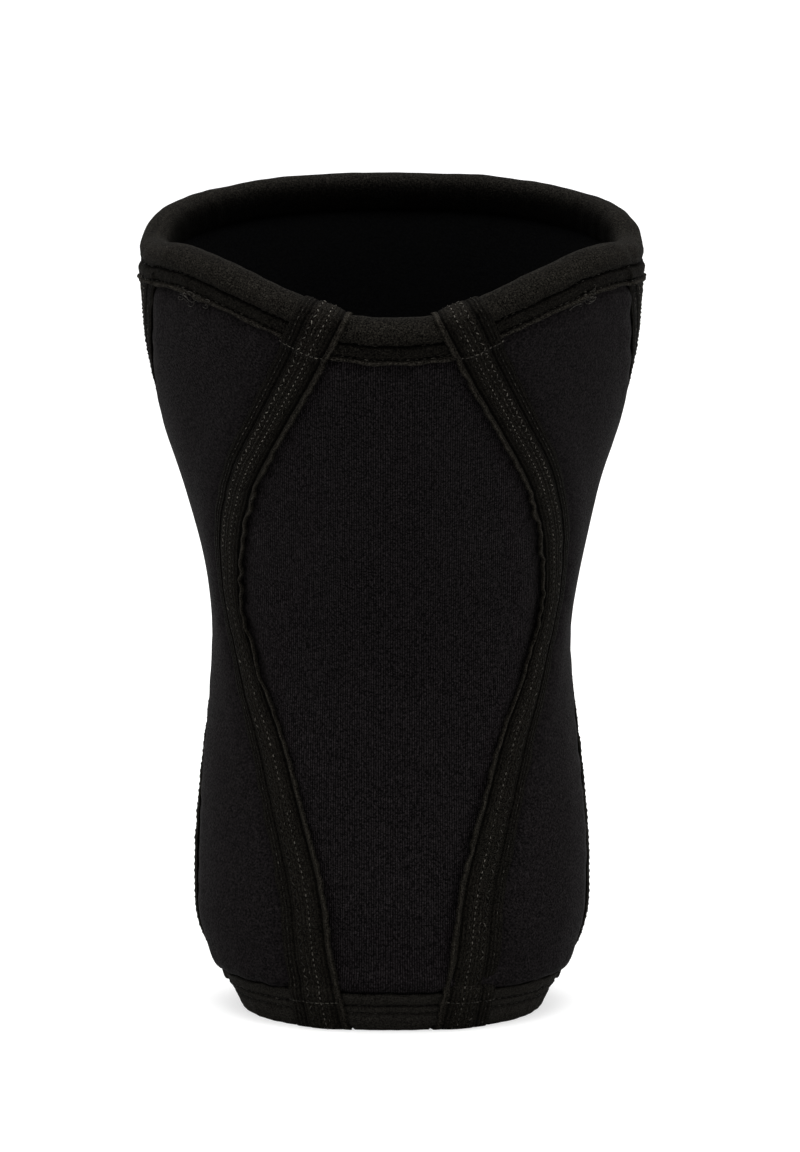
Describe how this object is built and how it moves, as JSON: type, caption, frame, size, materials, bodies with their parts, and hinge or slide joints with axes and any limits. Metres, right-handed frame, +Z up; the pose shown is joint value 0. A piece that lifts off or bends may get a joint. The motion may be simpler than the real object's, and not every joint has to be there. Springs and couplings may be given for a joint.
{
  "type": "knee sleeve",
  "caption": "Contoured tube of thick foam-rubber cloth for a knee, with taped seams and bound ends, standing on its lower edge.",
  "frame": {"origin": "on the floor under the middle of the whole sleeve", "axes": "+Z up the leg, towards the thigh end; -Y is the side of the hollow of the knee, +Y the kneecap's side; X runs across the leg"},
  "size_m": [0.184, 0.1674, 0.3059],
  "materials": {
    "rib_knit": "black knit with fine upright ribs, laminated on foam rubber",
    "jersey": "smooth black jersey laminated on foam rubber, with a faint sheen",
    "binding_cloth": "matt black stretch binding, stitched in rows",
    "tape_cloth": "matt black seam tape with rows of stitches"
  },
  "bodies": {
    "root": {"back_panel": "rib_knit", "front_panel": "jersey", "side_panel_right": "jersey", "side_panel_left": "jersey", "top_binding": "binding_cloth", "bottom_binding": "binding_cloth", "back_seam_tape_right": "tape_cloth", "back_seam_tape_left": "tape_cloth", "front_seam_tape_right": "tape_cloth", "front_seam_tape_left": "tape_cloth"}
  },
  "joints": []
}
